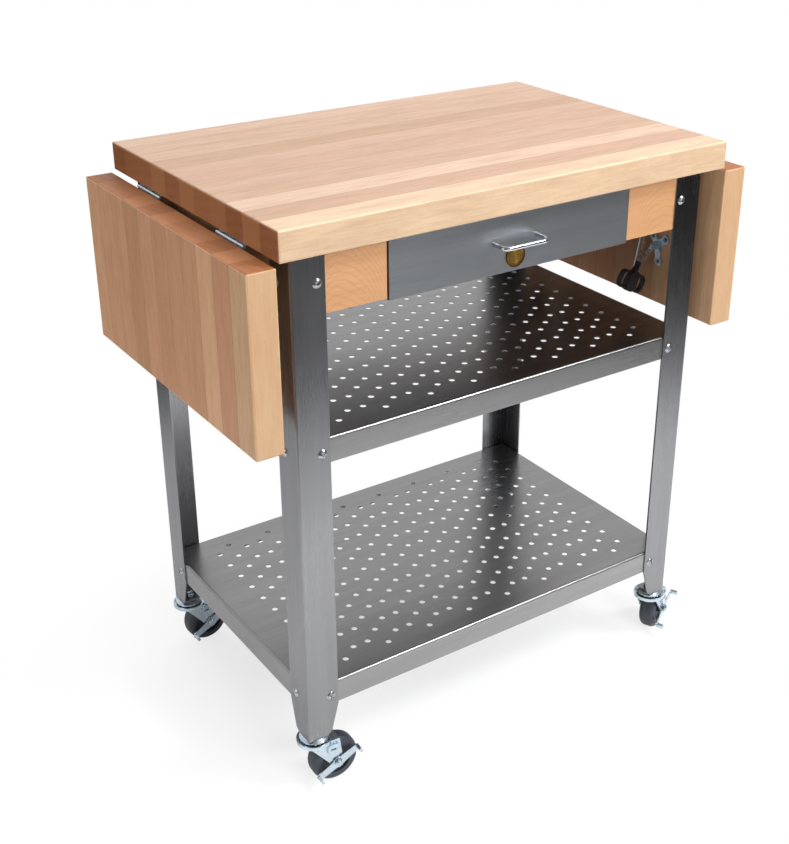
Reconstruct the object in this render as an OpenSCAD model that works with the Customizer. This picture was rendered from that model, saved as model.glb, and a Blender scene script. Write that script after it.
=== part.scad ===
// Kitchen island cart: butcher-block top with two drop leaves on a stainless frame,
// one drawer, two perforated shelves and four braked swivel casters.
// +X runs along the drawer front, +Y to the back, +Z up. The origin is on the floor,
// under the centre of the top.

/* [Top] */
// Length of the fixed top
top_l = 762; // [610:1:915]
// Depth of the top, front to back
top_w = 508; // [420:1:640]
// Thickness of the top and of the leaves
top_t = 42; // [30:1:50]
// Height of the working surface above the floor
top_h = 889; // [840:1:960]
// Rounding of the wood's edges
edge_r = 3; // [1:0.5:6]
// How far the top reaches past the legs at each end
overhang_x = 25; // [25:1:60]
// How far the top reaches past the legs at front and back
overhang_y = 22; // [15:1:50]

/* [Leaves] */
// Drop of each leaf, its size along X when it is raised
leaf_d = 254; // [230:1:300]
// Gap between the top and a raised leaf
leaf_gap = 1; // [1:0.5:3]
// Hinge axis below the underside of the top
hinge_drop = 3; // [3:0.5:5]
// Hinge axis beyond the end of the top
hinge_out = 0.5; // [0.5:0.5:1]
// Length of one butt hinge
hinge_l = 75; // [60:1:90]
// Distance of each hinge from the middle of the end
hinge_y = 126; // [100:1:150]
// Width of one hinge plate, from its axis
hinge_w = 24; // [22:1:26]

/* [Legs] */
// Width of each flange of the angle legs
leg_w = 51; // [45:1:60]
// Thickness of the leg metal
leg_t = 2; // [1.5:0.5:3]
// Outer bend radius of the leg
leg_r = 3; // [2:0.5:4]
// Height of the leg's tapered foot
taper_h = 52; // [30:1:70]
// Width of the flange at the bottom of the taper
foot_w = 39; // [36:1:44]
// Cut-off corner at the bottom of the flange
foot_cut = 7; // [3:1:9]
// Thickness of the foot plate that carries the caster
foot_t = 3; // [2:0.5:5]

/* [Rails and drawer] */
// Height of the wooden rails under the top
rail_h = 88; // [80:1:110]
// Thickness of the wooden rails
rail_t = 25; // [20:1:30]
// Width of the drawer front
drawer_w = 418; // [340:1:460]
// Gap beside the drawer front
drawer_gap = 2; // [1.5:0.5:4]
// How far the drawer front hangs below the rails
drawer_low = 3; // [0:1:8]
// Depth of the drawer pan
pan_d = 390; // [330:1:400]
// Height of the drawer pan
pan_h = 64; // [50:1:70]
// Thickness of the drawer's sheet metal
sheet_t = 1.2; // [1:0.1:2]
// Thickness of the boards that carry the slides
runner_t = 18; // [15:1:25]
// Distance between the handle's posts
handle_c = 76; // [64:1:96]
// Diameter of the handle's wire
handle_d = 7; // [6:0.5:10]
// Reach of the handle from the drawer front, to the middle of its bar
handle_out = 26; // [22:1:32]
// Diameter of the round badge
badge_d = 33; // [25:1:36]

/* [Shelves] */
// Height of the upper shelf's surface
shelf_hi = 581.5; // [480:0.5:620]
// Height of the lower shelf's surface
shelf_lo = 182; // [170:0.5:260]
// Height of the shelves' turned-down edges
apron_h = 38; // [30:1:50]
// Thickness of the shelf metal
shelf_t = 1.5; // [1:0.1:2.5]
// Diameter of the shelf holes
hole_d = 9.5; // [6:0.5:12]
// Spacing of the hole columns along X
pitch_x = 25.5; // [20:0.5:32]
// Spacing of the hole rows along Y
pitch_y = 19.3; // [15:0.1:26]
// Least margin without holes at the ends
margin_x = 45; // [30:1:70]
// Least margin without holes at front and back
margin_y = 32; // [25:1:60]
// Distance of the frame screws from the leg's corner, on front and back
screw_x = 39; // [34:1:42]
// Distance of the frame screws from the leg's corner, on the ends
screw_y = 36; // [34:1:42]
// Frame screws below the surface that they hold
screw_drop = 21.5; // [18:0.5:24]

/* [Casters] */
// Height of the casters, from the floor to the foot plates
caster_h = 91; // [88:1:100]
// Diameter of the wheels
wheel_d = 76; // [66:1:76]
// Width of the wheels
wheel_w = 28; // [22:1:32]
// Distance from the swivel axis to the axle
trail = 29; // [25:1:34]
// Swivel axis inside the leg's outer faces
caster_in = 17; // [16.5:0.5:20]
// Diameter of the axle
axle_d = 8; // [6:0.5:10]
// Radius of the swivel's lower cup
cup_r = 26.5; // [25:0.5:30]
// Half length of the brake rocker
brake_l = 34; // [30:1:38]
// Tilt of the brake rocker at rest
brake_tilt = 26; // [18:1:30]

/* [Leaf brackets] */
// Distance of each bracket from the middle of the end
bracket_y = 120; // [100:1:150]
// Width of the bracket's arms
arm_w = 10; // [8:1:10]
// Thickness of the arms and plates
arm_t = 2.5; // [2:0.5:3]
// Radius of the bracket's rivets
rivet_r = 3; // [2.5:0.5:3.5]
// Width of the release grip
grip_w = 56; // [46:1:60]
// Thickness of the release grip
grip_t = 12; // [9:1:14]

/* [Hidden] */
// [X side, Y side] of the front left, front right, back left and back right corners
CORNERS = [[-1, -1], [1, -1], [-1, 1], [1, 1]];
$fn = 64;
eps = 0.01;      // past-the-face allowance of a cut
run_fit = 0.05;  // radial clearance of a pin that turns in its bore

MAPLE = [0.85, 0.68, 0.5];
STAINLESS = [0.5, 0.51, 0.53];
ZINC = [0.74, 0.8, 0.84];
CHROME = [0.8, 0.82, 0.85];
DARK_RUBBER = [0.22, 0.24, 0.29];
BLACK = [0.05, 0.05, 0.05];
BRASS = [0.72, 0.55, 0.18];

slab_z = top_h - top_t;                 // underside of the top
frame_l = top_l - 2 * overhang_x;       // over the legs, along X
frame_w = top_w - 2 * overhang_y;       // over the legs, along Y
in_x = frame_l / 2 - leg_t;             // inner face of the end flanges
in_y = frame_w / 2 - leg_t;             // inner face of the front and back flanges
rail_z = slab_z - rail_h;
opening = drawer_w / 2 + drawer_gap;    // half width of the drawer's opening

// Hinge: the plates are as thick as the room between the axis and the wood allows
axis_x = top_l / 2 + hinge_out;
axis_z = slab_z - hinge_drop;
knuckle_r = hinge_drop - 0.5;
hinge_t = 2;
pin_r = 1.3;
pin_head_h = 0.8;
n_knuckles = 5;
knuckle_gap = 0.3;
knuckle_l = (hinge_l + knuckle_gap) / n_knuckles - knuckle_gap;
leaf_x = axis_x + hinge_drop;           // inner face of a hanging leaf
leaf_z = axis_z - (leaf_gap - hinge_out); // top of a hanging leaf

// Wood screws and frame screws
wood_r = 1.9;
wood_head_r = 3.6;
wood_l = 14;
bolt_r = 3;
bolt_l = 12;
bolt_head_r = 7.2;
bolt_head_h = 3.6;
nut_r = 5.8;
nut_h = 5;
rail_bolt_z = slab_z - rail_h / 2;
shelf_bolts = [shelf_hi - screw_drop, shelf_lo - screw_drop];
bend_r = 4;                             // bend along the shelves' edges

// Drawer
drawer_z = rail_z - drawer_low;
front_y = -frame_w / 2;                 // face of the drawer front
front_top = slab_z - drawer_gap;
front_fold = 14;                        // folded edge of the drawer front
slide_w = 12.7;
slide_h = 35;
slide_play = 1.2;                       // between the two members of a slide
pan_x = opening - slide_w - slide_play / 2; // outer face of the pan
pan_y = front_y + sheet_t;
pan_z = (drawer_z + front_top - pan_h) / 2;
slide_l = pan_d - 10;
slide_back = -in_y + rail_t + 2 + slide_l;
handle_z = (drawer_z + front_top) / 2;
handle_r = 9;                           // bend of the handle's corners
badge_z = handle_z - 23;
badge_t = 1.5;

// Casters, each in its own frame: the swivel axis is Z and the wheel trails along +X
TURNS = [-3, 26, 5, 20];                // rest heading of each caster, counter-clockwise
wheel_r = wheel_d / 2;
crown_z = wheel_r * 2 + 2.5;            // underside of the fork's crown
crown_t = 2.5;
ball_r = 2.4;
ball_ring = 18.5;
n_balls = 16;
race_z = crown_z + crown_t + 2 * ball_r + 0.2;
race_r = 22.5;
king_r = 6;
fork_gap = wheel_w / 2 + 2.5;           // inner face of the fork's cheeks
cheek_t = 2.5;
cheek_r = 9;
rocker_t = 2;
cheek_y = fork_gap + cheek_t;           // outer face of the fork's cheeks
guard_t = 3.5;
rocker_y = cheek_y + 0.4;

// Leaf bracket, in the plane of the right-hand end: [x, z]
rail_pivot = [in_x + 12, rail_z + 21];
leaf_pivot = [leaf_x - 8.5, leaf_z - 155.5];
elbow = [rail_pivot.x - 29, rail_pivot.y - 135];
plate_t = 2;
arm_step = arm_t + 0.5;                 // from one arm's plane to the next
upper_y = -arm_step;                    // near face of each layer, from the bracket's own Y
lower_y = 0;
lever_t = 3;
lever_y = -arm_step - 0.8 - lever_t;
lever_at = rail_pivot + 0.86 * (elbow - rail_pivot);
grip_at = elbow + [-14, -4];
grip_tilt = 27;                         // lean of the grip away from the end
grip_mid = 11;                          // half width of the grip's middle
ring_r = 12;
ring_t = 3.2;

// ---------- shared shapes ----------

module rounded_rect(w, h, r) {
    // A rectangle from the origin with four round corners
    translate([r, 0]) square([w - 2 * r, h]);
    translate([0, r]) square([w, h - 2 * r]);
    for (x = [r, w - r], y = [r, h - r]) translate([x, y]) circle(r);
}

module rounded_block(size, r) {
    // A block from the origin, rounded along all twelve edges
    intersection() {
        linear_extrude(size.z) rounded_rect(size.x, size.y, r);
        translate([0, size.y, 0]) rotate([90, 0, 0])
            linear_extrude(size.y) rounded_rect(size.x, size.z, r);
        rotate([90, 0, 90]) linear_extrude(size.x) rounded_rect(size.y, size.z, r);
    }
}

// Where a line from p touches the circle round c, on one side or the other
function touch(p, c, r, side) =
    let (d = p - c, a = atan2(d.y, d.x) + side * acos(r / norm(d))) c + r * [cos(a), sin(a)];

module taper(p1, r1, p2, r2) {
    // Two circles and their outer tangents
    d = p2 - p1;
    along = atan2(d.y, d.x);
    a = acos((r1 - r2) / norm(d));
    translate(p1) circle(r1);
    translate(p2) circle(r2);
    polygon([for (s = [a, -a]) p1 + r1 * [cos(along + s), sin(along + s)],
             for (s = [-a, a]) p2 + r2 * [cos(along + s), sin(along + s)]]);
}

// Draws a shape given in X and Z as a sheet from y, t thick
module sheet_xz(y, t) translate([0, y + t, 0]) rotate([90, 0, 0]) linear_extrude(t) children();

module ring(r_out, r_in, h) {
    difference() {
        cylinder(r = r_out, h = h);
        translate([0, 0, -eps]) cylinder(r = r_in, h = h + 2 * eps);
    }
}

// Puts right-hand pieces at either end: side is -1 or 1
module at_side(side) mirror([side < 0 ? 1 : 0, 0, 0]) children();

// A leg's own frame: its corner at the origin, flanges along +X and +Y
module at_corner(c) {
    translate([c.x * frame_l / 2, c.y * frame_w / 2, 0])
        mirror([c.x > 0 ? 1 : 0, 0, 0]) mirror([0, c.y > 0 ? 1 : 0, 0]) children();
}

module wood_screw() {
    // Head flush with z = 0, shank down
    difference() {
        union() {
            translate([0, 0, -wood_head_r + wood_r])
                cylinder(r1 = wood_r, r2 = wood_head_r, h = wood_head_r - wood_r);
            translate([0, 0, -wood_l]) cylinder(r = wood_r, h = wood_l - wood_head_r + wood_r);
        }
        for (turn = [0, 90]) rotate(turn) cube([wood_head_r, 0.8, 1.6], center = true);
    }
}

module wood_hole(depth) {
    // Room for a wood screw: its seat in a plate, then a drilled hole
    translate([0, 0, -wood_head_r + wood_r - eps])
        cylinder(r1 = wood_r, r2 = wood_head_r + eps, h = wood_head_r - wood_r + 2 * eps);
    translate([0, 0, -depth]) cylinder(r = wood_r, h = depth);
}

// ---------- top and rails ----------

// The middle screw of a hinge plate sits further from the axis than the outer two
function hinge_screw_in(k) = hinge_w * (k == 0 ? 0.7 : 0.4);

// Hinge screws in the plates under the top, heads down
module top_screw_places(side) {
    at_side(side) for (end = [-1, 1], k = [-1, 0, 1])
        translate([axis_x - hinge_screw_in(k), end * hinge_y + k * hinge_l / 3, slab_z - hinge_t])
            rotate([180, 0, 0]) children();
}

// Bracket screws in the end rails, heads outwards
module rail_screw_places(side) {
    at_side(side) for (end = [-1, 1], p = [[-14, 33], [18, 33], [18, 12]])
        translate([in_x + plate_t, end * bracket_y + p[0], rail_z + p[1]]) rotate([0, 90, 0]) children();
}

module top_slab() {
    color(MAPLE) difference() {
        translate([-top_l / 2, -top_w / 2, slab_z]) rounded_block([top_l, top_w, top_t], edge_r);
        for (side = [-1, 1]) top_screw_places(side) wood_hole(wood_l + 1);
    }
}

module front_block(side) {
    color(MAPLE) difference() {
        at_side(side) translate([opening, -in_y, rail_z]) cube([in_x - rail_t - opening, rail_t, rail_h]);
        translate([side * (frame_l / 2 - screw_x), -in_y - eps, rail_bolt_z])
            rotate([-90, 0, 0]) cylinder(r = bolt_r, h = bolt_l);
    }
}

module end_rail(side) {
    color(MAPLE) difference() {
        at_side(side) translate([in_x - rail_t, -in_y, rail_z]) cube([rail_t, 2 * in_y, rail_h]);
        for (end = [-1, 1]) at_side(side)
            translate([in_x + eps, end * (frame_w / 2 - screw_y), rail_bolt_z])
                rotate([0, -90, 0]) cylinder(r = bolt_r, h = bolt_l);
        rail_screw_places(side) wood_hole(wood_l + 1);
    }
}

module back_rail() {
    l = 2 * (in_x - rail_t);
    color(MAPLE) difference() {
        translate([-l / 2, in_y - rail_t, rail_z]) cube([l, rail_t, rail_h]);
        for (side = [-1, 1]) translate([side * (frame_l / 2 - screw_x), in_y + eps, rail_bolt_z])
            rotate([90, 0, 0]) cylinder(r = bolt_r, h = bolt_l);
    }
}

module runner(side) {
    // Hangs under the top between the front block and the back rail
    color(MAPLE) at_side(side) translate([opening, -in_y + rail_t, pan_z])
        cube([runner_t, 2 * in_y - 2 * rail_t, slab_z - pan_z]);
}

// ---------- legs and shelves ----------

module flange_face() {
    // One flange seen square on: [distance from the corner, height]
    polygon([[0, caster_h], [foot_w - foot_cut, caster_h], [foot_w, caster_h + foot_cut],
             [leg_w, caster_h + taper_h], [leg_w, slab_z], [0, slab_z]]);
}

module bent_corner(w, r) {
    // A square of side w with one round corner at the origin
    translate([r, 0]) square([w - r, w]);
    translate([0, r]) square([w, w - r]);
    translate([r, r]) circle(r);
}

// Screws that hold a leg: one through each flange at each height
module frame_screw_places(heights) {
    for (z = heights) {
        translate([screw_x, 0, z]) rotate([-90, 0, 0]) children();
        translate([0, screw_y, z]) rotate([0, 90, 0]) children();
    }
}

module leg(c) {
    plate = foot_w - foot_cut - leg_t;
    color(STAINLESS) at_corner(c) {
        difference() {
            intersection() {
                linear_extrude(slab_z) difference() {
                    bent_corner(leg_w, leg_r);
                    translate([leg_t, leg_t]) square(leg_w);
                }
                sheet_xz(-eps, leg_w + 1) flange_face();
                rotate([90, 0, 90]) linear_extrude(leg_w + 1) flange_face();
            }
            frame_screw_places([rail_bolt_z, each shelf_bolts])
                translate([0, 0, -1]) cylinder(r = bolt_r + 0.2, h = leg_t + 2);
        }
        difference() {
            translate([leg_t, leg_t, caster_h]) cube([plate, plate, foot_t]);
            translate([caster_in, caster_in, caster_h - 1]) cylinder(r = king_r + 0.2, h = foot_t + 2);
        }
    }
}

module shelf(z) {
    hx = in_x;
    hy = in_y;
    r = bend_r;
    groups = floor((2 * hx - 2 * margin_x) / (3 * pitch_x));
    cols = 3 * groups;
    rows = 2 * floor((2 * hy - 2 * margin_y) / (2 * pitch_y)) + 1;
    color(STAINLESS) translate([0, 0, z - apron_h]) difference() {
        intersection() {
            translate([-hx, hy, 0]) rotate([90, 0, 0]) linear_extrude(2 * hy) bent_top(2 * hx, apron_h, r);
            translate([-hx, -hy, 0]) rotate([90, 0, 90])
                linear_extrude(2 * hx) bent_top(2 * hy, apron_h, r);
        }
        intersection() {
            translate([-hx + shelf_t, hy, -eps]) rotate([90, 0, 0])
                linear_extrude(2 * hy) bent_top(2 * (hx - shelf_t), apron_h - shelf_t + eps, r - shelf_t);
            translate([-hx, -hy + shelf_t, -eps]) rotate([90, 0, 90])
                linear_extrude(2 * hx) bent_top(2 * (hy - shelf_t), apron_h - shelf_t + eps, r - shelf_t);
        }
        // Rows of pairs alternate with rows of single holes, which makes six-sided rings
        for (i = [0 : cols - 1], j = [0 : rows - 1])
            if ((j % 2 == 0) == (i % 3 == 1))
                translate([(i - (cols - 1) / 2) * pitch_x, (j - (rows - 1) / 2) * pitch_y, apron_h])
                    cylinder(d = hole_d, h = 4 * shelf_t, center = true, $fn = 32);
        for (sx = [-1, 1], sy = [-1, 1]) {
            translate([sx * (frame_l / 2 - screw_x), sy * hy, apron_h - screw_drop])
                rotate([90, 0, 0]) cylinder(r = bolt_r + 0.2, h = 6 * shelf_t, center = true);
            translate([sx * hx, sy * (frame_w / 2 - screw_y), apron_h - screw_drop])
                rotate([0, 90, 0]) cylinder(r = bolt_r + 0.2, h = 6 * shelf_t, center = true);
        }
    }
}

module bent_top(w, h, r) {
    // A rectangle whose two top corners are round
    square([w, h - r]);
    translate([r, 0]) square([w - 2 * r, h]);
    for (x = [r, w - r]) translate([x, h - r]) circle(r);
}

module frame_screw() {
    // Button head outside z = 0, its recess cut by the child; shank along +Z
    cap = (bolt_head_r * bolt_head_r + bolt_head_h * bolt_head_h) / (2 * bolt_head_h);
    difference() {
        intersection() {
            translate([0, 0, -bolt_head_h + cap]) sphere(r = cap);
            translate([0, 0, -bolt_head_h]) cylinder(r = bolt_head_r, h = bolt_head_h);
        }
        translate([0, 0, -bolt_head_h]) children();
    }
    cylinder(r = bolt_r, h = bolt_l);
}

module frame_screws() {
    // Six-sided sockets at the rails, crosses at the shelves
    color(CHROME) for (c = CORNERS) at_corner(c) {
        frame_screw_places([rail_bolt_z]) frame_screw()
            translate([0, 0, -eps]) cylinder(r = 2.6, h = 2.2, $fn = 6);
        frame_screw_places(shelf_bolts) frame_screw()
            for (turn = [45, 135]) rotate(turn) cube([7, 1.3, 3.4], center = true);
    }
}

module frame_nuts() {
    // Inside the shelves' edges; the rail screws bite in the wood
    color(ZINC) for (c = CORNERS) at_corner(c)
        for (z = shelf_bolts) {
            translate([screw_x, leg_t + shelf_t, z]) rotate([-90, 0, 0]) nut();
            translate([leg_t + shelf_t, screw_y, z]) rotate([0, 90, 0]) nut();
        }
}

module nut() {
    difference() {
        cylinder(r = nut_r, h = nut_h, $fn = 6);
        translate([0, 0, -eps]) cylinder(r = bolt_r, h = nut_h + 2 * eps);
    }
}

// ---------- drawer ----------

module drawer_front() {
    h = front_top - drawer_z;
    color(STAINLESS) difference() {
        translate([-drawer_w / 2, front_y, drawer_z]) cube([drawer_w, front_fold, h]);
        translate([-drawer_w / 2 + sheet_t, front_y + sheet_t, drawer_z + sheet_t])
            cube([drawer_w - 2 * sheet_t, front_fold, h - 2 * sheet_t]);
        for (s = [-1, 1]) handle_hole(s);
    }
}

module handle_hole(s) {
    translate([s * handle_c / 2, front_y - 1, handle_z])
        rotate([-90, 0, 0]) cylinder(r = 2.1, h = 2 * sheet_t + 2);
}

module drawer_pan() {
    color(STAINLESS) difference() {
        translate([-pan_x, pan_y, pan_z]) cube([2 * pan_x, pan_d, pan_h]);
        translate([-pan_x + sheet_t, pan_y + sheet_t, pan_z + sheet_t])
            cube([2 * (pan_x - sheet_t), pan_d - 2 * sheet_t, pan_h]);
        for (s = [-1, 1]) handle_hole(s);
    }
}

module channel(w, h, t) {
    // A C section from the origin, open towards -X
    difference() {
        square([w, h]);
        translate([-eps, t]) square([w - t + eps, h - 2 * t]);
    }
}

module outer_slides() {
    color(ZINC) for (side = [-1, 1]) at_side(side)
        translate([opening - slide_w + slide_play, slide_back, pan_z + (pan_h - slide_h) / 2])
            rotate([90, 0, 0])
                linear_extrude(slide_l) channel(slide_w - slide_play, slide_h, sheet_t);
}

module inner_slides() {
    h = slide_h - 2 * sheet_t - 2 * slide_play;
    w = slide_w + slide_play / 2 - sheet_t - slide_play;
    color(ZINC) for (side = [-1, 1]) at_side(side)
        translate([pan_x + w, slide_back, pan_z + (pan_h - h) / 2])
            mirror([1, 0, 0]) rotate([90, 0, 0]) linear_extrude(slide_l) channel(w, h, sheet_t);
}

module drawer_handle() {
    half = handle_c / 2 - handle_r;
    color(CHROME) translate([0, front_y, handle_z]) {
        translate([-half, -handle_out, 0]) rotate([0, 90, 0]) cylinder(d = handle_d, h = 2 * half);
        for (s = [-1, 1]) mirror([s < 0 ? 1 : 0, 0, 0]) {
            translate([half, -handle_out + handle_r, 0]) rotate([0, 0, -90])
                rotate_extrude(angle = 90) translate([handle_r, 0]) circle(d = handle_d);
            translate([handle_c / 2, 0, 0])
                rotate([90, 0, 0]) cylinder(d = handle_d, h = handle_out - handle_r);
        }
    }
}

module handle_screws() {
    color(ZINC) for (s = [-1, 1]) translate([s * handle_c / 2, pan_y + sheet_t, handle_z])
        rotate([-90, 0, 0]) {
            cylinder(r = 4, h = 2.4);
            translate([0, 0, -2 * sheet_t]) cylinder(r = 2, h = 2 * sheet_t);
        }
}

module drawer_badge() {
    // A plain disc with a raised rim and a raised middle
    color(BRASS) translate([0, front_y, badge_z]) rotate([90, 0, 0]) difference() {
        cylinder(d = badge_d, h = badge_t);
        translate([0, 0, badge_t - 0.5]) ring(badge_d / 2 - 1.6, badge_d / 4, 1);
    }
}

// ---------- hinges and leaves ----------

// Knuckles k, k + 2, ... of one hinge, along Y through the axis
module knuckles(first) {
    for (k = [first : 2 : n_knuckles - 1])
        translate([0, -hinge_l / 2 + k * (knuckle_l + knuckle_gap), 0]) children();
}

module hinge_half(first) {
    // Plate on the -X side of the axis with its face hinge_drop above it
    difference() {
        union() {
            translate([-hinge_w, -hinge_l / 2, hinge_drop - hinge_t])
                cube([hinge_w - knuckle_r - 0.5, hinge_l, hinge_t]);
            knuckles(first) {
                rotate([-90, 0, 0]) cylinder(r = knuckle_r, h = knuckle_l);
                translate([-knuckle_r - 1, 0, hinge_drop - hinge_t])
                    cube([knuckle_r + 1, knuckle_l, hinge_t - 0.5]);
            }
        }
        translate([0, -hinge_l, 0])
            rotate([-90, 0, 0]) cylinder(r = pin_r + run_fit, h = 2 * hinge_l);
    }
}

module hinge_plates(side) {
    color(ZINC) difference() {
        at_side(side) for (end = [-1, 1]) translate([axis_x, end * hinge_y, axis_z]) hinge_half(0);
        top_screw_places(side) wood_hole(hinge_t + 1);
    }
}

// The leaf's own half of the hinge: the same shape turned a quarter round the axis
module hinge_flaps(side) {
    color(ZINC) difference() {
        at_side(side) for (end = [-1, 1]) translate([axis_x, end * hinge_y, axis_z])
            rotate([0, -90, 0]) mirror([0, 0, 1]) hinge_half(1);
        leaf_screw_places(side) wood_hole(plate_t + 1);
    }
}

module hinge_pins() {
    color(ZINC) for (side = [-1, 1]) at_side(side) for (end = [-1, 1])
        translate([axis_x, end * hinge_y, axis_z]) rotate([-90, 0, 0]) {
            translate([0, 0, -hinge_l / 2]) cylinder(r = pin_r, h = hinge_l);
            for (z = [-hinge_l / 2 - pin_head_h, hinge_l / 2])
                translate([0, 0, z]) cylinder(r = knuckle_r - 0.4, h = pin_head_h);
        }
}

module under_top_screws() {
    color(ZINC) for (side = [-1, 1]) {
        top_screw_places(side) wood_screw();
        rail_screw_places(side) wood_screw();
    }
}

// Screws into a leaf's inner face: three in each hinge flap, three in each bracket plate
LEAF_PLATE = [[-22, 14.5], [6, 14.5], [-8, -25.5]]; // [y from the bracket, z from its pivot]
module leaf_screw_places(side) {
    at_side(side) {
        for (end = [-1, 1], k = [-1, 0, 1])
            translate([leaf_x - hinge_t, end * hinge_y + k * hinge_l / 3, axis_z - hinge_screw_in(k)])
                rotate([0, -90, 0]) children();
        for (end = [-1, 1], p = LEAF_PLATE)
            translate([leaf_x - plate_t, end * bracket_y + p[0], leaf_pivot.y + p[1]])
                rotate([0, -90, 0]) children();
    }
}

module leaf(side) {
    color(MAPLE) difference() {
        at_side(side) translate([leaf_x, -top_w / 2, leaf_z - leaf_d])
            rounded_block([top_t, top_w, leaf_d], edge_r);
        leaf_screw_places(side) wood_hole(wood_l + 1);
    }
}

module leaf_screws(side) {
    color(ZINC) leaf_screw_places(side) wood_screw();
}

// ---------- leaf brackets ----------

// Draws a bracket's pieces at both brackets of one end
module at_brackets(side, ends = [-1, 1]) {
    at_side(side) for (end = ends) translate([0, end * bracket_y, 0]) children();
}

module bracket_plates(side) {
    w = 46;
    h = 38;
    color(ZINC) difference() {
        at_brackets(side) {
            translate([in_x, -w / 2 + 2, rail_z + 4]) rotate([90, 0, 90])
                linear_extrude(plate_t) rounded_rect(w, h, 6);
            // Ear with the rivet that the upper arm turns on
            sheet_xz(lower_y, arm_t)
                taper(rail_pivot, arm_w / 2 + 1, [in_x + plate_t / 2 + 1, rail_pivot.y], arm_w / 2 + 2);
            translate([rail_pivot.x, lower_y, rail_pivot.y]) rotate([90, 0, 0]) rivet();
        }
        rail_screw_places(side) wood_hole(plate_t + 1);
        at_side(side) translate([in_x - 20, -top_w / 2, rail_z]) cube([20, top_w, rail_h]);
    }
}

module rivet() {
    // From the ear's face through one arm, with its head beyond
    cylinder(r = rivet_r, h = arm_step + 0.5);
    translate([0, 0, arm_step + 0.3]) cylinder(r1 = rivet_r + 2, r2 = rivet_r + 1, h = 1);
}

module upper_arms(side) {
    color(ZINC) at_brackets(side) {
        difference() {
            sheet_xz(upper_y, arm_t) taper(rail_pivot, arm_w / 2 + 1, elbow, arm_w / 2);
            translate([rail_pivot.x, 0, rail_pivot.y]) rotate([90, 0, 0])
                cylinder(r = rivet_r + run_fit, h = 3 * arm_step);
            translate([lever_at.x, 0, lever_at.y]) rotate([90, 0, 0])
                cylinder(r = rivet_r + run_fit, h = 3 * arm_step);
        }
        translate([elbow.x, upper_y, elbow.y])
            rotate([90, 0, 0]) cylinder(r1 = rivet_r + 1.2, r2 = rivet_r, h = 0.5);
    }
}

module lower_arms(side) {
    color(ZINC) at_brackets(side) {
        difference() {
            sheet_xz(lower_y, arm_t) taper(leaf_pivot, arm_w / 2, elbow, arm_w / 2);
            translate([leaf_pivot.x, arm_step, leaf_pivot.y]) rotate([90, 0, 0])
                cylinder(r = rivet_r + run_fit, h = 3 * arm_step);
        }
        translate([elbow.x, arm_t, elbow.y])
            rotate([-90, 0, 0]) cylinder(r1 = rivet_r + 2, r2 = rivet_r + 1, h = 1.2);
    }
}

module leaf_plates(side) {
    // Three lobes round the screws, joined to a middle that carries the ear
    middle = [-4, 0];
    collar_h = 0.8;
    color(ZINC) difference() {
        at_brackets(side) {
            translate([leaf_x - plate_t, 0, leaf_pivot.y]) rotate([90, 0, 90]) linear_extrude(plate_t) {
                translate(middle) circle(10);
                for (p = LEAF_PLATE) {
                    translate(p) circle(7.8);
                    taper(middle, 8, p, 5);
                }
            }
            // Pressed collar round each screw
            for (p = LEAF_PLATE) translate([leaf_x - plate_t - collar_h, p[0], leaf_pivot.y + p[1]])
                rotate([0, 90, 0]) ring(7.2, 5.2, collar_h + 0.5);
            // Ear with the rivet that the lower arm turns on
            sheet_xz(upper_y, arm_t)
                taper(leaf_pivot, arm_w / 2 + 1, [leaf_x - plate_t / 2 - 1, leaf_pivot.y], arm_w / 2 + 2);
            translate([leaf_pivot.x, upper_y + arm_t, leaf_pivot.y]) rotate([-90, 0, 0]) rivet();
        }
        leaf_screw_places(side) wood_hole(plate_t + 1);
        at_side(side) translate([leaf_x, -top_w / 2, leaf_z - leaf_d]) cube([20, top_w, leaf_d]);
    }
}

module release(side, end) {
    // Black pull: its lever turns on the upper arm, its grip hangs in front of the elbow
    color(BLACK) at_brackets(side, [end]) {
        sheet_xz(lever_y, lever_t) taper(lever_at, arm_w / 2, grip_at, arm_w / 2 + 2);
        translate([lever_at.x, upper_y + arm_t, lever_at.y]) rotate([90, 0, 0])
            cylinder(r = rivet_r, h = upper_y + arm_t - lever_y + 0.6);
        translate([grip_at.x, 0, grip_at.y]) rotate([0, grip_tilt, 0]) grip();
    }
}

module grip() {
    // A solid middle with an open ring on each side, thinner than the middle
    ring_x = grip_w / 2 - ring_r;
    back = lever_y + 2.4;
    sheet_xz(back - grip_t, grip_t) taper([0, -6], grip_mid, [0, 9], grip_mid - 2);
    sheet_xz(back - grip_t + 1.5, grip_t - 3) difference() {
        for (s = [-1, 1]) taper([s * ring_x, -3.5], ring_r, [s * ring_x, 3.5], ring_r);
        for (s = [-1, 1]) taper([s * ring_x, -3.5], ring_r - ring_t, [s * ring_x, 3.5], ring_r - ring_t);
    }
}

// ---------- casters ----------

module at_caster(i) {
    c = CORNERS[i];
    translate([c.x * (frame_l / 2 - caster_in), c.y * (frame_w / 2 - caster_in), 0])
        rotate(TURNS[i]) children();
}

module caster_stems() {
    // Upper race, kingpin with its head under the crown, and the nut on the foot plate
    color(ZINC) for (i = [0 : 3]) at_caster(i) {
        translate([0, 0, race_z]) cylinder(r = race_r, h = 2);
        translate([0, 0, race_z + 2]) cylinder(r1 = race_r, r2 = race_r - 5, h = caster_h - race_z - 2);
        translate([0, 0, crown_z - 4]) cylinder(r = king_r, h = caster_h + foot_t + 12 - crown_z + 4);
        translate([0, 0, crown_z - 4]) cylinder(r1 = king_r, r2 = king_r + 2, h = 3.6);
        translate([0, 0, caster_h + foot_t]) cylinder(r = 10, h = 7, $fn = 6);
    }
}

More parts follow.
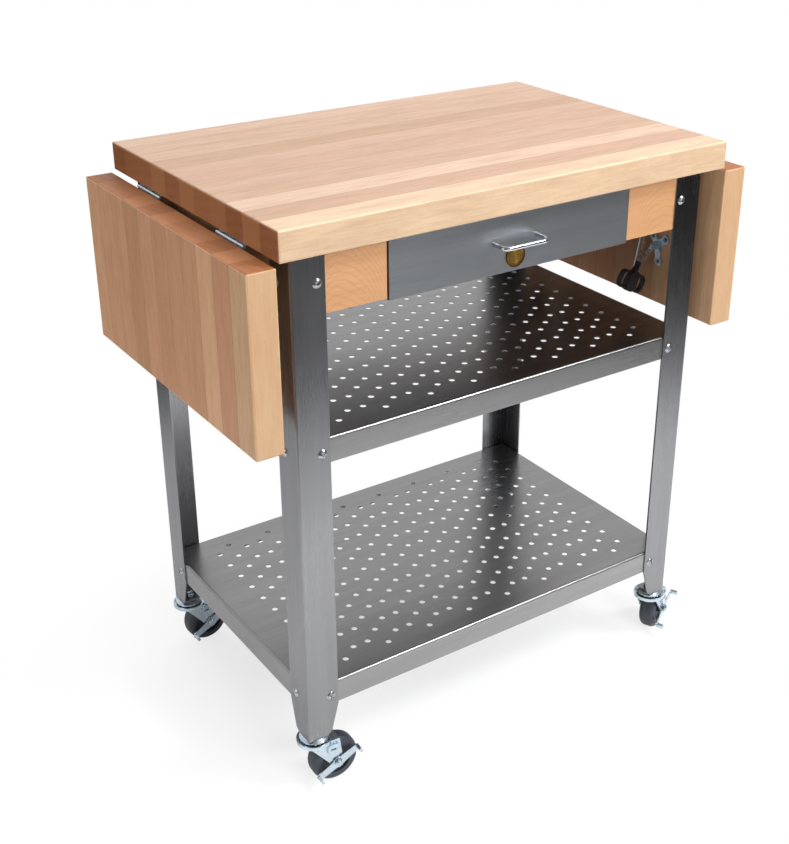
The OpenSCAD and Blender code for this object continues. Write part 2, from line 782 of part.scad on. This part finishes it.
module caster_balls() {
    color(CHROME) for (i = [0 : 3]) at_caster(i) for (k = [0 : n_balls - 1])
        rotate(k * 360 / n_balls) translate([ball_ring, 0, race_z - ball_r]) sphere(r = ball_r, $fn = 24);
}

module fork(i) {
    reach = trail + 4;
    shoulder = 17;
    axle = [trail, wheel_r];
    top = crown_z + crown_t;
    color(ZINC) at_caster(i) {
        difference() {
            union() {
                translate([0, 0, crown_z]) cylinder(r = cup_r, h = crown_t);
                translate([0, 0, crown_z]) ring(cup_r, cup_r - 2, crown_t + 3.2);
                translate([0, -cheek_y, crown_z]) cube([reach, 2 * cheek_y, crown_t]);
                for (y = [-cheek_y, fork_gap])
                    sheet_xz(y, cheek_t) cheek(shoulder, reach, axle, top);
                // Stamped guard of the brake on the near cheek, with its slot
                sheet_xz(-cheek_y - guard_t, guard_t + 0.5) difference() {
                    translate(axle) polygon([[-17, 23], [-17, 37], [1, 37], [1, 25], [-4, 14], [-11, 14]]);
                    translate(axle + [-13, 27]) square([9, 3.5]);
                }
            }
            translate([0, 0, crown_z - 1]) cylinder(r = king_r + run_fit, h = crown_t + 2);
        }
        // Axle bolt: head outside the brake rocker, nut on the far side
        translate([trail, -rocker_y - rocker_t - 0.3, wheel_r]) rotate([-90, 0, 0])
            cylinder(d = axle_d, h = cheek_y + rocker_y + rocker_t + 3);
        translate([trail, -rocker_y - rocker_t - 0.3, wheel_r]) rotate([90, 0, 0]) {
            cylinder(r = 6.5, h = 2);
            translate([0, 0, 2]) cylinder(r1 = 6.5, r2 = 4, h = 2);
        }
        translate([trail, cheek_y, wheel_r]) rotate([-90, 0, 0]) cylinder(r = 6.5, h = 5, $fn = 6);
    }
}

module cheek(shoulder, reach, axle, top) {
    left = [-shoulder, top];
    right = [reach, top];
    translate(axle) circle(cheek_r);
    polygon([left, touch(left, axle, cheek_r, 1), axle, touch(right, axle, cheek_r, -1), right]);
}

module wheel(i) {
    core_r = wheel_r * 0.62;
    shoulder = wheel_w / 3;
    hub = fork_gap - 0.4;
    color(DARK_RUBBER) at_caster(i) translate([trail, 0, wheel_r]) rotate([90, 0, 0]) {
        // Tyre: tread with wide round shoulders
        rotate_extrude() difference() {
            translate([0, -wheel_w / 2]) union() {
                square([wheel_r - shoulder, wheel_w]);
                translate([0, shoulder]) square([wheel_r, wheel_w - 2 * shoulder]);
                for (y = [shoulder, wheel_w - shoulder])
                    translate([wheel_r - shoulder, y]) circle(shoulder);
            }
            translate([-1, -wheel_w]) square([core_r + 1, 2 * wheel_w]);
        }
        // Core: a web with a hub that runs on the axle
        rotate_extrude() difference() {
            union() {
                translate([0, -wheel_w / 2 + 4.5]) square([core_r, wheel_w - 9]);
                translate([0, -hub]) square([9, 2 * hub]);
            }
            translate([-1, -hub - 1]) square([axle_d / 2 + run_fit + 1, 2 * hub + 2]);
        }
    }
}

module brake(i) {
    tip = brake_l * [cos(brake_tilt), sin(brake_tilt)];
    pad_l = 11;
    color(ZINC) at_caster(i) translate([trail, 0, wheel_r]) {
        difference() {
            sheet_xz(-rocker_y - rocker_t, rocker_t) {
                circle(9.5);
                taper(-tip, 5.5, [0, 0], 7.5);
                taper(tip, 5.5, [0, 0], 8);
            }
            translate([0, -rocker_y - rocker_t - 1, 0]) rotate([-90, 0, 0])
                cylinder(d = axle_d + 2 * run_fit, h = rocker_t + 2);
        }
        // A foot pad bent outwards at each end
        for (s = [-1, 1]) translate([s * tip.x, -rocker_y - rocker_t - pad_l, s * tip.y])
            rotate([0, -brake_tilt, 0]) translate([s > 0 ? 0.3 : -4.7, 0, -4]) cube([4.4, pad_l + 0.5, 8]);
    }
}

// ---------- one line per node ----------

top_slab();
front_block(-1);  // front_block_left
front_block(1);  // front_block_right
end_rail(-1);  // left_rail
end_rail(1);  // right_rail
back_rail();
runner(-1);  // left_runner
runner(1);  // right_runner
leg(CORNERS[0]);  // front_left_leg
leg(CORNERS[1]);  // front_right_leg
leg(CORNERS[2]);  // back_left_leg
leg(CORNERS[3]);  // back_right_leg
shelf(shelf_hi);  // upper_shelf
shelf(shelf_lo);  // lower_shelf
frame_screws();
frame_nuts();
outer_slides();
hinge_plates(-1);  // left_hinge_plates
hinge_plates(1);  // right_hinge_plates
hinge_pins();
under_top_screws();
caster_stems();
caster_balls();
bracket_plates(-1);  // left_bracket_plates
bracket_plates(1);  // right_bracket_plates
drawer_front();
drawer_pan();
inner_slides();
drawer_handle();
handle_screws();
drawer_badge();
leaf(-1);  // left_leaf
hinge_flaps(-1);  // left_hinge_flaps
leaf_plates(-1);  // left_leaf_plates
leaf_screws(-1);  // left_leaf_screws
leaf(1);  // right_leaf
hinge_flaps(1);  // right_hinge_flaps
leaf_plates(1);  // right_leaf_plates
leaf_screws(1);  // right_leaf_screws
upper_arms(-1);  // left_upper_arms
lower_arms(-1);  // left_lower_arms
upper_arms(1);  // right_upper_arms
lower_arms(1);  // right_lower_arms
release(-1, -1);  // left_front_release
release(-1, 1);  // left_back_release
release(1, -1);  // right_front_release
release(1, 1);  // right_back_release
fork(0);  // front_left_fork
wheel(0);  // front_left_wheel
brake(0);  // front_left_brake
fork(1);  // front_right_fork
wheel(1);  // front_right_wheel
brake(1);  // front_right_brake
fork(2);  // back_left_fork
wheel(2);  // back_left_wheel
brake(2);  // back_left_brake
fork(3);  // back_right_fork
wheel(3);  // back_right_wheel
brake(3);  // back_right_brake
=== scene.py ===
# %% [markdown]
# # A kitchen cart in wood and steel
# The shapes come packed: every board, sheet, screw and wheel is already a mesh in metres.
# This lesson gives them their finishes, and sets the camera and lights.

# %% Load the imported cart
import bpy
import math
from mathutils import Matrix, Vector

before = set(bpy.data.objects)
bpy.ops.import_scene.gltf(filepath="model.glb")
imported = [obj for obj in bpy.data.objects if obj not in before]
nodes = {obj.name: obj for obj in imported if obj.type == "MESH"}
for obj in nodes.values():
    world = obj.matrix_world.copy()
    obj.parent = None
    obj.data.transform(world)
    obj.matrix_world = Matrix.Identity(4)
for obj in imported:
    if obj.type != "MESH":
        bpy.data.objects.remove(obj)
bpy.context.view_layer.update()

# %% [markdown]
# ## The camera
# The cart is seen from its front left corner, from about 1.4 m up. A camera's own axes are
# right, up and backwards, so a matrix with those three columns and a place says everything.
# The lens is normal to slightly long, which keeps the near corner from swelling.

# %% Place the camera
def camera_axes(azimuth, elevation, roll):
    """Right, up and backwards for a view along (sin az cos el, cos az cos el, -sin el), rolled."""
    level = math.cos(elevation)
    ahead = Vector((math.sin(azimuth) * level, math.cos(azimuth) * level, -math.sin(elevation)))
    right = Vector((math.cos(azimuth), -math.sin(azimuth), 0))
    up = right.cross(ahead)
    cos, sin = math.cos(roll), math.sin(roll)
    return (cos * right - sin * up, sin * right + cos * up, -ahead)

EYE = (-1.0837, -1.5833, 1.3850)
AZIMUTH, ELEVATION, ROLL = 0.6092, 0.4353, -0.0048

cam = bpy.data.objects.new("camera", bpy.data.cameras.new("camera"))
bpy.context.scene.collection.objects.link(cam)
bpy.context.scene.camera = cam
turn = Matrix(camera_axes(AZIMUTH, ELEVATION, ROLL)).transposed().to_4x4()
cam.matrix_world = Matrix.Translation(EYE) @ turn
cam.data.sensor_width = 36
cam.data.lens = 55.94
cam.data.shift_x = -0.0438
cam.data.shift_y = -0.0460
cam.data.clip_start = 0.05
print("camera:", [round(v, 3) for v in cam.location], "lens", cam.data.lens)

# %% [markdown]
# ## Writing materials as sums
# A material is arithmetic on where a point lies. The small class below wraps a node's output,
# so that adding or multiplying two of them adds the Math node that does it.

# %% A socket that knows arithmetic
class Flow:
    """A node's output socket. +, -, *, / and ** on it add Math nodes."""

    def __init__(self, graph, socket):
        self.graph, self.socket = graph, socket

    def _math(self, kind, *values):
        return self.graph.node("ShaderNodeMath", {"operation": kind}, dict(enumerate(values)))

    def __add__(self, o): return self._math("ADD", self, o)
    def __radd__(self, o): return self._math("ADD", o, self)
    def __sub__(self, o): return self._math("SUBTRACT", self, o)
    def __rsub__(self, o): return self._math("SUBTRACT", o, self)
    def __mul__(self, o): return self._math("MULTIPLY", self, o)
    def __rmul__(self, o): return self._math("MULTIPLY", o, self)
    def __truediv__(self, o): return self._math("DIVIDE", self, o)
    def __rtruediv__(self, o): return self._math("DIVIDE", o, self)
    def __pow__(self, o): return self._math("POWER", self, o)
    def floor(self): return self._math("FLOOR", self)
    def fract(self): return self._math("FRACT", self)
    def abs(self): return self._math("ABSOLUTE", self)
    def sine(self): return self._math("SINE", self)
    def least(self, o): return self._math("MINIMUM", self, o)
    def most(self, o): return self._math("MAXIMUM", self, o)

    def clip(self, low, high):
        """0 at low, 1 at high, a straight ramp between and flat beyond. low may be the larger."""
        ends = {"Value": self, "From Min": low, "From Max": high}
        return self.graph.node("ShaderNodeMapRange", {}, ends)


class Graph:
    """One material's nodes. node() adds any kind and returns its first output."""

    def __init__(self, name):
        self.mat = bpy.data.materials.new(name)
        self.mat.use_nodes = True
        self.tree = self.mat.node_tree
        self.shader = self.tree.nodes["Principled BSDF"]
        where = self.node("ShaderNodeTexCoord", {}, {}, whole=True)
        self.point = Flow(self, where.outputs["Object"])
        self.facing = Flow(self, where.outputs["Normal"])

    def node(self, kind, settings, values, whole=False):
        """Settings are set first, because some of them change the sockets."""
        n = self.tree.nodes.new(kind)
        for key, value in settings.items():
            setattr(n, key, value)
        self.fill(n, values)
        return n if whole else Flow(self, n.outputs[0])

    def fill(self, n, values):
        """Links each Flow to the node's socket, and sets each plain value on it."""
        for key, value in values.items():
            socket = n.inputs[key]
            if isinstance(value, Flow):
                self.tree.links.new(value.socket, socket)
            elif isinstance(value, tuple) and socket.type == "RGBA":
                socket.default_value = (*value, 1)
            else:
                socket.default_value = value

    def xyz(self, flow):
        n = self.node("ShaderNodeSeparateXYZ", {}, {0: flow}, whole=True)
        return [Flow(self, o) for o in n.outputs]

    def pack(self, x, y, z):
        return self.node("ShaderNodeCombineXYZ", {}, {0: x, 1: y, 2: z})

    def noise(self, at, scale, detail=2.0, rough=0.5):
        values = {"Vector": at, "Scale": scale, "Detail": detail, "Roughness": rough}
        return self.node("ShaderNodeTexNoise", {}, values)

    def mix(self, how, a, b):
        """Colour a with how parts of colour b. Inputs 6 and 7 and output 2 carry the colours."""
        n = self.node("ShaderNodeMix", {"data_type": "RGBA"}, {}, whole=True)
        self.fill(n, {0: how, 6: a, 7: b})
        return Flow(self, n.outputs[2])

    def finish(self, bump, **inputs):
        """Sets or links the shader's own sockets; bump is a height and its depth in metres."""
        self.fill(self.shader, {k.replace("_", " "): v for k, v in inputs.items()})
        height, depth = bump
        values = {"Height": height, "Distance": depth, "Strength": 1.0}
        normal = self.node("ShaderNodeBump", {}, values)
        self.tree.links.new(normal.socket, self.shader.inputs["Normal"])
        return self.mat


def scaled(colour, *by):
    """A colour times one factor, or times one factor for each of red, green and blue."""
    return tuple(c * k for c, k in zip(colour, by if len(by) == 3 else by * 3))


def dress(material, *names):
    """Gives the named pieces one material in every slot."""
    for name in names:
        piece = nodes[name] if name in nodes else bpy.data.objects[name]
        piece.data.materials.clear()
        piece.data.materials.append(material)
    print(material.name, "->", ", ".join(names))


def on_corners(*kinds):
    """The names of one kind of piece, or several, at all four corners of the cart."""
    return [f"{end}_{side}_{kind}" for end in ("front", "back") for side in ("left", "right")
            for kind in kinds]


def on_sides(*kinds):
    """The names of one kind of piece, or several, on the cart's left and right."""
    return [f"{side}_{kind}" for side in ("left", "right") for kind in kinds]

# %% [markdown]
# ## Floor and light
# Wood and steel are shown best by large soft lamps: one above, a stronger one in front to the
# right, a weak one on the left. Steel shows what it mirrors, though, and a white floor without
# an end would make the legs plain white. A real studio has a white sheet of a few metres in a
# dim room, so mirrored and bounced light here meets a floor that goes dark past that sheet,
# while the view itself sees it pale everywhere. The Light Path node tells the two apart.
# The strong front lamp would be a white patch in the drawer and the shelves, so steel doesn't
# mirror it. A wide weak lamp below it gives the steel a grey gleam instead.

# %% Make the floor
FLOOR_REACH = 30
corners = [(x * FLOOR_REACH, y * FLOOR_REACH, 0) for x, y in ((-1, -1), (1, -1), (1, 1), (-1, 1))]

floor = bpy.data.objects.new("floor", bpy.data.meshes.new("floor"))
floor.data.from_pydata(corners, [], [(0, 1, 2, 3)])
bpy.context.scene.collection.objects.link(floor)

def floor_paint(sheet_edge, room_edge, dim):
    """White up to sheet_edge metres from the cart, dim past room_edge; distance is
    sqrt((x / 1.5)^2 + y^2), because the cart is wider than it is deep. To the eye it glows
    more and more from under the cart outwards, so that only a soft shadow stays."""
    g = Graph("floor_paint")
    x, y, z = g.xyz(g.point)
    away = ((x / 1.5) ** 2 + y * y) ** 0.5
    grain = g.noise(g.point, 3.0)
    white = g.mix(grain * 0.3, (0.84, 0.84, 0.84), (0.80, 0.80, 0.80))
    paper = g.mix(away.clip(sheet_edge, room_edge), white, (dim, dim, dim))
    mirrored = g.node("ShaderNodeBsdfDiffuse", {}, {"Color": paper})
    lit = g.node("ShaderNodeBsdfDiffuse", {}, {"Color": white})
    glow = g.node("ShaderNodeEmission", {}, {"Color": (1.0, 1.0, 1.0), "Strength": 1.0})
    seen = g.node("ShaderNodeMixShader", {}, {0: away.clip(-0.45, 0.55), 1: lit, 2: glow})
    direct = g.node("ShaderNodeLightPath", {}, {})
    both = g.node("ShaderNodeMixShader", {}, {0: direct, 1: mirrored, 2: seen})
    g.tree.links.new(both.socket, g.tree.nodes["Material Output"].inputs["Surface"])
    return g.mat

dress(floor_paint(sheet_edge=0.98, room_edge=1.5, dim=0.02), "floor")

# %% Hang the lights
def soft_light(name, place, target, size, watts, mirrored=True):
    """A rectangular lamp at place, size metres wide and high, turned to face target. One that
    isn't mirrored lights the cart but doesn't show in its steel."""
    lamp = bpy.data.objects.new(name, bpy.data.lights.new(name, "AREA"))
    lamp.data.shape = "RECTANGLE"
    lamp.data.size, lamp.data.size_y = size
    lamp.data.energy = watts
    turn = (Vector(target) - Vector(place)).to_track_quat("-Z", "Y").to_matrix().to_4x4()
    lamp.matrix_world = Matrix.Translation(place) @ turn
    lamp.visible_camera = False
    lamp.visible_glossy = mirrored
    bpy.context.scene.collection.objects.link(lamp)

soft_light("light_above", (0.5, 0.3, 2.9), (0, 0, 0.5), (2.4, 2.0), 18)
soft_light("light_key", (1.7, -2.1, 3.1), (0, 0, 0.6), (0.9, 0.9), 95)
soft_light("light_front", (0.2, -3.0, 1.9), (0, 0, 0.6), (2.0, 1.2), 115, mirrored=False)
soft_light("light_gleam", (0.1, -3.0, 1.0), (0, 0, 0.6), (3.0, 1.7), 15)
soft_light("light_left", (-2.9, -0.2, 1.7), (0, 0, 0.5), (1.4, 1.4), 18)

def plain_room(seen, front, back):
    """The world: one brightness to the eye, and to all that it lights one that rises from the
    front of the room to its back wall with the y of the direction."""
    world = bpy.data.worlds.new("room")
    bpy.context.scene.world = world
    world.use_nodes = True
    tree = world.node_tree
    paint = tree.nodes["Background"]

    def ramp(low, high, start, end, flow):
        n = tree.nodes.new("ShaderNodeMapRange")
        for key, value in zip(("From Min", "From Max", "To Min", "To Max"), (low, high, start, end)):
            if isinstance(value, float):
                n.inputs[key].default_value = value
            else:
                tree.links.new(value, n.inputs[key])
        tree.links.new(flow, n.inputs["Value"])
        return n.outputs["Result"]

    way = tree.nodes.new("ShaderNodeSeparateXYZ")
    tree.links.new(tree.nodes.new("ShaderNodeTexCoord").outputs["Generated"], way.inputs[0])
    bounced = ramp(-0.3, 0.5, front, back, way.outputs["Y"])
    eye = tree.nodes.new("ShaderNodeLightPath").outputs["Is Camera Ray"]
    tree.links.new(ramp(0.0, 1.0, bounced, seen, eye), paint.inputs["Strength"])
    paint.inputs["Color"].default_value = (1, 1, 1, 1)

plain_room(seen=1.0, front=0.18, back=0.95)
bpy.context.scene.view_settings.view_transform = "Standard"

# %% [markdown]
# ## Butcher-block maple
# The top is glued from eleven strips of hard maple, 46 mm wide, with their narrow edge up. Each
# strip comes from another board, so it has its own tint, from cream to pinkish tan. Along the
# strip run fine straight fibres; the ends show darker pores. One pattern serves top and leaves:
# the strips follow Y, and the fibres follow X on the top and Z on a hanging leaf.

# %% Maple in glued strips
TOP_DEPTH, STRIPS = 0.508, 11
STRIP = TOP_DEPTH / STRIPS
HALF = STRIPS / 2
BOARDS_PER_METRE = 3.1
PALE, TAN, ROSE = (0.61, 0.445, 0.325), (0.43, 0.275, 0.18), (0.51, 0.32, 0.235)
# The front strip's pale colour: its own sapwood tone on the top, and a painted highlight on that
# strip's front and back faces.
SAPWOOD_AND_HIGHLIGHT = (0.70, 0.52, 0.34)
END_MID, END_DARK, END_PALE = (0.33, 0.118, 0.040), (0.22, 0.069, 0.021), (0.46, 0.20, 0.080)
PORE = (0.13, 0.043, 0.014)
GRAIN_DEPTH = 0.00012

def end_grain(g, lift, cross, shift, board):
    """Growth rings cut across, sin(3 noise + 420 lift + 90 cross), darker and warmer."""
    x, y, z = g.xyz(g.point)
    bend = g.noise(g.pack(x * 60 + shift, y * 60, z * 60), 1.0)
    ring = (bend * 3 + lift * 420 + cross * 90).sine() * 0.5 + 0.5
    pore = g.noise(g.point, 2600.0, 1.0).clip(0.45, 0.7)
    ends = g.mix(ring * 0.35, END_MID, END_DARK)
    ends = g.mix(pore * 0.35, ends, PORE)
    return g.mix(board, ends, END_PALE)

def arches(g, run, lift):
    """A sawn face cuts the growth rings as long arches: 1 where sin(560 lift + 9000 run^2) is
    high, with run from the arches' middle and some noise."""
    middle = run.abs() - 0.285
    wave = lift * 560 + middle * middle * 9000 + g.noise(g.point, 22.0) * 14
    return wave.sine().clip(0.2, 1.0)

def maple(name, along, tint=(1, 1, 1), sapwood_and_highlight=SAPWOOD_AND_HIGHLIGHT, strips=True):
    """Strip number k = floor(y / width); tone(k) comes from white noise, and the fibres are
    noise that is stretched about twenty times along the grain. The strip at the front has a
    pale sapwood tone, and its front and back faces are painted paler still: a painted highlight."""
    g = Graph(name)
    x, y, z = g.xyz(g.point)
    nx, ny, nz = g.xyz(g.facing)
    run, cross, lift, faces_end = {"x": (x, y, z, nx), "y": (y, x, z, ny), "z": (z, y, x, nz)}[along]
    pale, tan, rose = (scaled(colour, *tint) for colour in (PALE, TAN, ROSE))

    # The board's own tone
    k = (cross / STRIP + HALF).floor() if strips else (cross * BOARDS_PER_METRE).floor()
    dice = g.node("ShaderNodeTexWhiteNoise", {"noise_dimensions": "1D"}, {"W": k * 1.7 + 5.1},
                  whole=True)
    tone = Flow(g, dice.outputs["Value"]).clip(0.1, 0.9)
    blush = g.xyz(Flow(g, dice.outputs["Color"]))[1].clip(0.45, 0.9)
    every_other = (k * 0.5).fract() * 2
    colour = g.mix(tone * 0.7 + every_other * 0.3, pale, tan)
    colour = g.mix(blush * 0.7, colour, rose)
    if strips:
        # Painted highlight: the front strip takes 0.4 of the pale colour on its top as its own
        # sapwood tone, and the full pale colour on faces that point front or back, which stands in
        # for the front lamps.
        front = ny.abs().clip(0.5, 0.9)
        colour = g.mix(k.clip(0.6, 0.4) * (front * 0.6 + 0.4), colour, sapwood_and_highlight)

    # Fibres: long thin streaks, a different set in every strip
    shift = k * 7.31
    fibre = g.noise(g.pack(run * 22 + shift, cross * 420, lift * 300), 1.0, 3.0, 0.6)
    figure = g.noise(g.pack(run * 9 + shift, cross * 62 + shift, lift * 40), 1.0, 4.0, 0.6)
    fleck = g.noise(g.pack(run * 130 + shift, cross * 900, lift * 700), 1.0, 1.0)
    colour = g.mix(figure.clip(0.42, 0.72) * 0.34, colour, scaled(tan, 0.76, 0.70, 0.64))
    colour = g.mix(fibre.clip(0.35, 0.75) * 0.30, colour, scaled(tan, 0.62, 0.56, 0.5))
    colour = g.mix(fleck.clip(0.62, 0.74) * 0.25, colour, scaled(tan, 0.55, 0.5, 0.42))

    ends = end_grain(g, lift, cross, shift, tone * 0.4 + every_other * 0.25)
    colour = g.mix(faces_end.abs().clip(0.6, 0.8), colour, ends)
    height = fibre * 0.5 + figure * 0.3
    if strips:
        # Glue line: a hair-wide seam at each joint
        edge = (cross / STRIP + HALF).fract()
        seam = 1 - edge.least(1 - edge).clip(0.004, 0.02)
        colour = g.mix(seam * 0.5, colour, scaled(tan, 0.5))
        height = height - seam * 0.8
    else:
        colour = g.mix(arches(g, run, lift) * 0.3, colour, scaled(tan, 0.86, 0.62, 0.42))
    return g.finish((height, GRAIN_DEPTH), Base_Color=colour, Roughness=0.44 + fibre * 0.2,
                    Specular_IOR_Level=0.35, Coat_Weight=0.06, Coat_Roughness=0.35)

dress(maple("maple_top", "x"), "top_slab")
dress(maple("maple_leaf", "z", (1.22, 0.99, 0.78), (0.51, 0.37, 0.22)), *on_sides("leaf"))
dress(maple("maple_front", "x", (0.90, 0.76, 0.57), strips=False),
      "front_block_left", "front_block_right", "back_rail")
dress(maple("maple_side", "y", (1.0, 0.9, 0.76), strips=False), *on_sides("rail", "runner"))

# %% [markdown]
# ## Brushed stainless steel
# Sheet steel is brushed in one direction, which leaves fine scratches and spreads reflections
# across them. Noise that is stretched along the brushing gives both the scratches' height and
# a small change of roughness. Broad soft clouds stand for the handling of a real sheet.

# %% Brushed sheet
STEEL, SHELF_STEEL, DRAWER_STEEL = (0.275, 0.277, 0.288), (0.31, 0.308, 0.312), (0.44, 0.46, 0.49)
SCRATCH_DEPTH = 0.00002

def brushed(name, along, base, rough=0.20, streak=0.25):
    """Scratches are noise with 14 waves a metre along the brushing and 1600 across it."""
    g = Graph(name)
    place = dict(zip("xyz", g.xyz(g.point)))

    def stretched(slow, fast):
        return g.pack(*[p * (slow if axis == along else fast) for axis, p in place.items()])

    line = g.noise(stretched(14, 1600), 1.0, 2.0, 0.6)
    broad = g.noise(stretched(2, 60), 1.0)
    cloud = g.noise(g.point, 5.0, 3.0)
    pale_parts = line.clip(0.3, 0.7) * streak + broad.clip(0.35, 0.65) * 0.2
    return g.finish((line, SCRATCH_DEPTH), Metallic=1.0,
                    Base_Color=g.mix(pale_parts, scaled(base, 0.82), scaled(base, 1.16)),
                    Roughness=rough + line * 0.10 + cloud.clip(0.3, 0.7) * 0.06)

dress(brushed("steel_leg", "z", STEEL), *on_corners("leg"))
dress(brushed("steel_shelf", "x", SHELF_STEEL, 0.22, 0.35),
      "upper_shelf", "lower_shelf", "drawer_pan")
dress(brushed("steel_drawer", "x", DRAWER_STEEL, 0.34, 0.4), "drawer_front")

# %% [markdown]
# ## Plated and polished parts
# Bright zinc has a bluish white cast and a slightly mottled shine. Chrome is nearly a mirror.
# Screws, casters, hinges and bracket arms are plated, so one material with a little mottling
# does for all of them, in four tones.

# %% Zinc, chrome and brass
def plated(name, base, rough, mottle):
    """Roughness and tone follow two scales of noise."""
    g = Graph(name)
    cloud = g.noise(g.point, 220.0, 3.0)
    grit = g.noise(g.point, 1500.0)
    return g.finish((grit, 0.00002), Metallic=1.0,
                    Base_Color=g.mix(cloud.clip(0.3, 0.7) * mottle, base, scaled(base, 0.72)),
                    Roughness=rough + cloud * 0.08 + grit * 0.05)

dress(plated("zinc_plate", (0.54, 0.63, 0.70), 0.20, 0.4),
      "frame_nuts", "outer_slides", "inner_slides", "hinge_pins", "caster_stems", "handle_screws",
      *on_sides("hinge_plates", "hinge_flaps", "bracket_plates", "leaf_plates",
                "upper_arms", "lower_arms"),
      *on_corners("fork", "brake"))
dress(plated("chrome_plate", (0.62, 0.64, 0.67), 0.10, 0.12), "drawer_handle", "caster_balls")
dress(plated("screw_plate", (0.40, 0.41, 0.43), 0.22, 0.2), "frame_screws")
dress(plated("wood_screw_plate", (0.13, 0.145, 0.16), 0.25, 0.3),
      "under_top_screws", *on_sides("leaf_screws"))

BADGE_HEIGHT = 0.7775
BEADS = 40

def stamped_brass(name, centre_z):
    """Brass stamped with plain rings: r = sqrt(x^2 + (z - centre)^2), and beads round the rim
    where sin(beads * angle) is high."""
    g = Graph(name)
    x, y, z = g.xyz(g.point)
    up = z - centre_z
    r = (x * x + up * up) ** 0.5
    angle = g.node("ShaderNodeMath", {"operation": "ARCTAN2"}, {0: up, 1: x})
    rim = r.clip(0.0118, 0.0124) * r.clip(0.0146, 0.0140)
    beads = (angle * BEADS).sine().clip(-0.2, 0.6) * rim
    rings = (r * 2600).sine().clip(-0.3, 0.7) * r.clip(0.0112, 0.0106)
    raised = beads.most(rings)
    grit = g.noise(g.point, 900.0, 3.0)
    colour = g.mix(raised * 0.8 + grit * 0.15, (0.15, 0.075, 0.012), (0.62, 0.37, 0.09))
    return g.finish((raised, 0.0004), Metallic=1.0, Base_Color=colour, Roughness=0.34 + grit * 0.1)

dress(stamped_brass("stamped_brass", BADGE_HEIGHT), "drawer_badge")

# %% [markdown]
# ## Rubber and moulded plastic
# The wheels are a hard dark rubber, a little paler where they are scuffed. The release pulls
# are moulded black plastic with a fine spark-eroded grain.

# %% Rubber and plastic
def moulded(name, base, rough, grain, worn):
    """A flat tone with fine pitting and a few pale scuffs."""
    g = Graph(name)
    pit = g.noise(g.point, 2400.0)
    scuff = g.noise(g.point, 70.0, 4.0).clip(0.58, 0.8)
    return g.finish((pit, grain), Base_Color=g.mix(scuff * 0.35, base, worn),
                    Roughness=rough + pit * 0.15)

dress(moulded("wheel_rubber", (0.020, 0.024, 0.034), 0.40, 0.00004, (0.06, 0.065, 0.08)),
      *on_corners("wheel"))
dress(moulded("pull_plastic", (0.010, 0.010, 0.011), 0.42, 0.00003, (0.04, 0.04, 0.04)),
      *on_sides("front_release", "back_release"))
